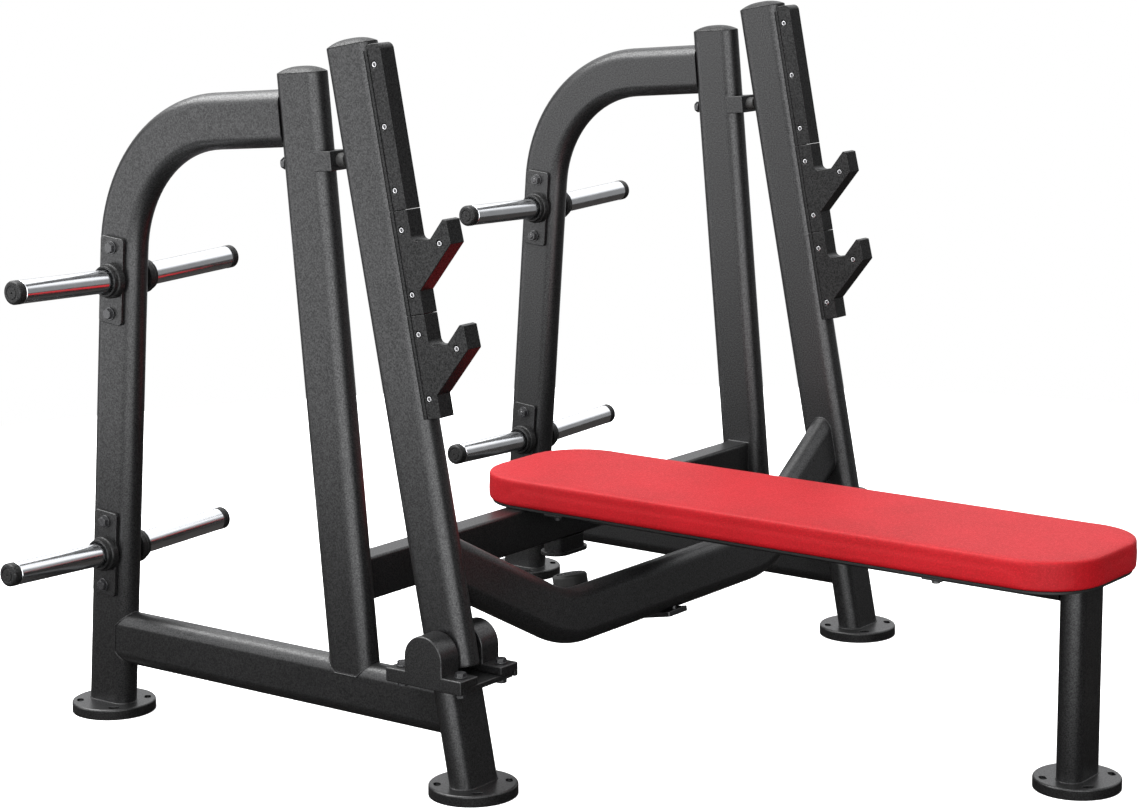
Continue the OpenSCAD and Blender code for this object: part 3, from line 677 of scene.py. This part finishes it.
def bolts(node, axis_for, seat, grip, **sizes):
    """One bolt for each solid of a node; its washer starts seat below the solid's end."""
    bm = bmesh.new()
    for points in islands(node):
        centre = Vector((points.min(0) + points.max(0)) / 2)
        axis = Vector(axis_for(centre)).normalized()
        reach = max(Vector(p).dot(axis) for p in points)
        foot = centre + axis * (reach - centre.dot(axis) - seat)
        bolt(bm, aimed(foot, axis), grip, **sizes)
    show(node + "_made", bm, node)


def fasteners():
    """Hexagon bolts with washers, nuts and threads."""

    def outward(centre):
        return (0, math.copysign(1, centre.y), 0)

    bolts("bracket_bolts", outward, 0.0086, 0.0666, size=0.010, across=0.017, head=0.0066,
          washer=0.012, nut=0.008, tail=0.0098)
    bolts("block_bolts", lambda c: (0, 0, 1), 0.0084, 0.0250, size=0.010, across=0.017, head=0.0064,
          washer=0.011, nut=0.008, tail=0.0096)
    backward = (-math.cos(MID_LEAN), 0, -math.sin(MID_LEAN))
    bolts("stop_bolts", lambda c: backward, 0.0105, 0.115, size=0.012, across=0.019, head=0.0085,
          washer=0.012)
    bolts("pad_bolts", lambda c: (0, 0, -1), 0.0070, 0.009, size=0.008, across=0.013, head=0.005,
          washer=0.008)
    softened("arm_bolts", 0.0004)


def bearings():
    """Ball bearings: races, dark seals over the gap between them, and the shaft's parts."""
    for node, inner, outer in (("bearing_outers", 0.01655, 0.0257), ("bearing_inners", 0.0128, 0.0165)):
        bm = bmesh.new()
        for points in islands(node):
            centre = (points.min(0) + points.max(0)) / 2
            closed_ring(bm, inner, outer, -0.007, 0.007, aimed(Vector(centre), (0, 1, 0)), 0.0016, 72)
        show(node + "_turned", bm, node)
    bm = bmesh.new()
    for points in islands("bearing_outers"):
        centre = Vector((points.min(0) + points.max(0)) / 2)
        for face in (-1, 1):
            closed_ring(bm, 0.0170, 0.0225, 0.0068, 0.0076, aimed(centre, (0, face, 0)), 0.0003, 72)
    show("bearing_seals", bm, body="base", slot="buffer_rubber")
    for node, width in (("shaft_spacers", 0.0007), ("pivot_shafts", 0.0008)):
        softened(node, width)


def buffers():
    """Rubber buffers: two plain ones on the stop blocks, a ribbed one on the rack's arm."""
    forward = Vector((math.cos(MID_LEAN), 0, math.sin(MID_LEAN)))
    bm = bmesh.new()
    for points in islands("stop_buffers"):
        centre = Vector((points.min(0) + points.max(0)) / 2)
        depths = [Vector(p).dot(forward) for p in points]
        half = (max(depths) - min(depths)) / 2
        profile = [(0, -half), (0.0122, -half)] + arc(0.0105, half - 0.0020, 0.0020, 0, 90, 6) + [(0, half)]
        lathe(bm, profile, aimed(centre, forward), 72)
    show("stop_buffers_moulded", bm, "stop_buffers")
    up = Vector((-math.sin(RACK_LEAN), 0, math.cos(RACK_LEAN)))
    points = islands("arm_buffer")[0]
    heights = [Vector(p).dot(up) for p in points]
    centre = Vector((points.min(0) + points.max(0)) / 2)
    low, high = min(heights) - centre.dot(up), max(heights) - centre.dot(up)
    profile = [(0, low), (0.0310, low), (0.0334, low + 0.002)]
    profile += arc(0.0276, high - 0.0060, 0.0060, 0, 80, 8)
    radius, groove = 0.0276, high - 0.0022
    while radius > 0.006:
        profile += [(radius, high), (radius - 0.0030, high)]
        profile += [(radius - 0.0036, groove), (radius - 0.0060, groove)]
        radius -= 0.0070
    profile.append((0, high - 0.0010))
    bm = bmesh.new()
    lathe(bm, profile, aimed(centre, up))
    show("arm_buffer_moulded", bm, "arm_buffer")


def weld_beads():
    """Weld beads round the tubes' ends, but for the top beams' where they meet the middle posts."""
    base, rack = bmesh.new(), bmesh.new()
    mid_cos, post_cos, rack_cos = math.cos(MID_LEAN), math.cos(POST_LEAN), math.cos(RACK_LEAN)
    tube = oval(TUBE_L, TUBE_T)
    reach, radius = (TUBE_L - TUBE_T) / 2, TUBE_T / 2

    def bulge(y):
        return math.sqrt(max(0.0, radius ** 2 - y ** 2))

    def bead(bm, outline, point):
        """Bead through the points that the outline's two measures lead to."""
        sweep(bm, [Vector(point(u, v)) for u, v in outline], BEAD_R)

    member, stub = middle("rear_cross_member"), middle("stop_stub")
    member_low, member_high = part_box("rear_cross_member")
    rail_top = RAIL_Z + reach
    turn = Matrix.Translation(PIVOT) @ Matrix.Rotation(-RACK_LEAN, 4, "Y")
    cross_z = CROSS_LOW + (FRAME_Y - radius - CROSS_APEX_Y) * math.tan(CROSS_SLOPE)
    for side in (-1, 1):
        y0, inner = side * FRAME_Y, side * (FRAME_Y - radius)
        bead(base, tube, lambda u, v: (post_x(FOOT_TOP) + u / post_cos, y0 + v, FOOT_TOP))
        bead(base, tube, lambda u, v: (leg_x(FOOT_TOP) + v / rack_cos, y0 + u, FOOT_TOP))
        bead(base, tube, lambda u, v: (leg_x(DECK_Z) + v / rack_cos, y0 + u, DECK_Z))
        bead(base, tube, lambda u, v: (mid_x(rail_top + bulge(v)) + u / mid_cos, y0 + v, rail_top + bulge(v)))
        bead(base, tube,
             lambda u, v: (post_x(RAIL_Z + u) + (reach + bulge(v)) / post_cos, y0 + v, RAIL_Z + u))
        bead(base, tube, lambda u, v: (leg_x(RAIL_Z + u) - radius / rack_cos, y0 + v, RAIL_Z + u))
        bead(base, rectangle(member_high.x - member_low.x, member_high.z - member_low.z),
             lambda u, v: (member.x + u, inner, member.z + v))
        bead(rack, tube,
             lambda u, v: turn @ Vector((v, inner - PIVOT.y, cross_z + u / math.cos(CROSS_SLOPE))))
    bead(base, tube, lambda u, v: (LEG_X + v, u, FOOT_TOP))
    low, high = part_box("bench_rail")
    for x in (low.x, high.x):
        bead(base, oval(RAIL_L, RAIL_T), lambda u, v: (x, u, (low.z + high.z) / 2 + v))
    bead(base, oval(STUB_L, STUB_T), lambda u, v: (stub.x + v, u, member_low.z))
    show("weld_beads_frame", base, body="base", slot="frame_paint", crease=60, weighted=False)
    show("weld_beads_rack", rack, body="rack", slot="frame_paint", crease=60, weighted=False)


def rounded_slab(low, high, corner, edge):
    """Closed slab; corner is the radius of its plan's corners, edge that of its rims."""
    bm = bmesh.new()
    half_x, half_y = (high.x - low.x) / 2, (high.y - low.y) / 2
    cx, cy = (high.x + low.x) / 2, (high.y + low.y) / 2
    corner_steps, rim_steps = 12, 5

    def outline(inset, z):
        points = []
        for qx, qy, start in ((1, 1, 0), (-1, 1, 90), (-1, -1, 180), (1, -1, 270)):
            centre = (cx + qx * (half_x - corner), cy + qy * (half_y - corner))
            points += arc(*centre, corner - inset, start, start + 90, corner_steps)
        return [bm.verts.new((*p, z)) for p in points]

    rim = arc(0, 0, edge, 0, 90, rim_steps)
    rings = [outline(edge - b, low.z + edge - a) for a, b in rim]
    rings += [outline(edge - a, high.z - edge + b) for a, b in rim]
    for lower, upper in zip(rings, rings[1:]):
        ring_between(bm, lower, upper)
    bm.faces.new(rings[0][::-1])
    bm.faces.new(rings[-1])
    return bm


def applied(piece):
    """Bake a piece's modifiers into its mesh."""
    graph = bpy.context.evaluated_depsgraph_get()
    mesh = bpy.data.meshes.new_from_object(piece.evaluated_get(graph))
    piece.modifiers.clear()
    piece.data = mesh


def cushion():
    """Foam under vinyl: a slightly small slab, inflated and held to its board."""
    low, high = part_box("pad")
    small = Vector((PAD_INSET, PAD_INSET, 0))
    low, high = low + small, high - small
    high.z -= PAD_GROWTH
    bm = rounded_slab(low, high, 0.1106, 0.0050)
    mesh = bpy.data.meshes.new("cushion")
    bm.to_mesh(mesh)
    bm.free()
    pad = bpy.data.objects.new("cushion", mesh)
    bpy.context.scene.collection.objects.link(pad)
    voxels = pad.modifiers.new("voxels", "REMESH")
    voxels.mode = "VOXEL"
    voxels.voxel_size = 0.0040
    applied(pad)
    inflate(pad, low.z + 0.002, PAD_GROWTH)
    smooth = pad.modifiers.new("even", "SMOOTH")
    smooth.factor, smooth.iterations = 0.5, 1
    finer = pad.modifiers.new("finer", "SUBSURF")
    finer.levels = finer.render_levels = 1
    applied(pad)
    for polygon in pad.data.polygons:
        polygon.use_smooth = True
    pad.data.materials.clear()
    pad.data.materials.append(MATERIAL["vinyl_red"])
    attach(pad, "base")
    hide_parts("pad")


def inflate(pad, pinned_below, cap):
    """Short cloth simulation under pressure, underside pinned, each move capped."""
    frames = 20
    rest = np.array([v.co for v in pad.data.vertices])
    held = pad.vertex_groups.new(name="held")
    held.add([i for i, p in enumerate(rest) if p[2] < pinned_below], 1.0, "REPLACE")
    cloth = pad.modifiers.new("cloth", "CLOTH")
    cloth.settings.vertex_group_mass = "held"
    cloth.settings.use_pressure = True
    cloth.settings.uniform_pressure_force = 4.0
    cloth.settings.effector_weights.gravity = 0.0
    cloth.settings.quality = 4
    cloth.settings.tension_stiffness = 30
    cloth.settings.compression_stiffness = 30
    cloth.point_cache.frame_start, cloth.point_cache.frame_end = 1, frames
    for step in range(1, frames + 1):
        bpy.context.scene.frame_set(step)
    graph = bpy.context.evaluated_depsgraph_get()
    grown = pad.evaluated_get(graph).to_mesh()
    moved = np.array([v.co for v in grown.vertices]) - rest
    pad.modifiers.clear()
    length = np.linalg.norm(moved, axis=1)
    share = np.minimum(1.0, cap / np.maximum(length, 1e-9))
    placed = rest + moved * share[:, None]
    pad.data.vertices.foreach_set("co", placed.ravel())
    pad.data.update()
    bpy.context.scene.frame_set(1)


# ---- studio ----

def studio():
    """Floor, surroundings and the one lamp."""
    bm = bmesh.new()
    bmesh.ops.create_circle(bm, cap_ends=True, radius=3.2, segments=160)
    mesh = bpy.data.meshes.new("studio_floor")
    bm.to_mesh(mesh)
    bm.free()
    floor = bpy.data.objects.new("studio_floor", mesh)
    bpy.context.scene.collection.objects.link(floor)
    mesh.materials.append(floor_paint())
    surroundings()
    softbox("overhead", (-2.0, -1.2, 4.0), (-0.3, 0.0, 0.4), (3.8, 3.8), 385)


def surroundings():
    """White behind the object; dim studio walls with broad soft panels all round it.

    Each panel has an aim, the degrees from it where it starts and has finished
    fading, and a strength.
    """
    world = bpy.data.worlds.new("studio")
    bpy.context.scene.world = world
    world.use_nodes = True
    tree = world.node_tree
    dim = tree.nodes["Background"]
    white = add(tree, "ShaderNodeBackground", Color=(1, 1, 1, 1), Strength=1.0)
    direction = tree.nodes.new("ShaderNodeTexCoord").outputs["Generated"]
    light = None
    for aim, inner, outer, strength in (((0, 0, 1), 58, 74, 1.2), (FRONT_PANEL, 19, 46, 3.7),
                                        ((-0.62, -0.78, -0.10), 20, 50, 2.05),
                                        ((-0.57, 0.81, 0.25), 20, 55, 0.70),
                                        ((0.57, 0.81, -0.05), 20, 50, 0.23)):
        panel = remap(tree, reach_along(tree, direction, aim), math.cos(math.radians(outer)),
                      math.cos(math.radians(inner)), 0.0, strength)
        panel.node.interpolation_type = "SMOOTHSTEP"
        light = panel if light is None else combine(tree, "ADD", light, panel)
    tree.links.new(combine(tree, "ADD", light, 0.05), dim.inputs["Strength"])
    dim.inputs["Color"].default_value = (0.98, 0.985, 1.0, 1)
    split_by_ray(tree, dim.outputs["Background"], white.outputs["Background"], "World Output")


def softbox(name, where, aim, size, power):
    lamp = bpy.data.lights.new(name, "AREA")
    lamp.shape = "RECTANGLE"
    lamp.size, lamp.size_y = size
    lamp.energy = power
    light = bpy.data.objects.new(name, lamp)
    light.location = where
    light.rotation_euler = (Vector(aim) - Vector(where)).to_track_quat("-Z", "Y").to_euler()
    bpy.context.scene.collection.objects.link(light)


def camera():
    """Camera at the photograph's place and angle."""
    lens = bpy.data.cameras.new("camera")
    lens.sensor_width = 36.0
    lens.lens = 94.4
    lens.shift_x, lens.shift_y = -0.115, -0.0312
    lens.clip_end = 100.0
    view = bpy.data.objects.new("camera", lens)
    view.location = (3.1275, -4.438, 1.6486)
    yaw, pitch, roll = math.radians(34.689), math.radians(10.483), math.radians(0.088)
    ahead = Vector((-math.sin(yaw) * math.cos(pitch), math.cos(yaw) * math.cos(pitch), -math.sin(pitch)))
    view.rotation_mode = "QUATERNION"
    view.rotation_quaternion = ahead.to_track_quat("-Z", "Y") @ Matrix.Rotation(roll, 3, "Z").to_quaternion()
    bpy.context.scene.collection.objects.link(view)
    bpy.context.scene.camera = view
    bpy.context.scene.view_settings.view_transform = "Standard"


for node_name, node_object in frame["nodes"].items():
    node_object.material_slots[0].material = MATERIAL[SLOT[node_name]]
camera()
steelwork()
tube_caps()
guards()
horns()
fasteners()
bearings()
buffers()
weld_beads()
cushion()
studio()
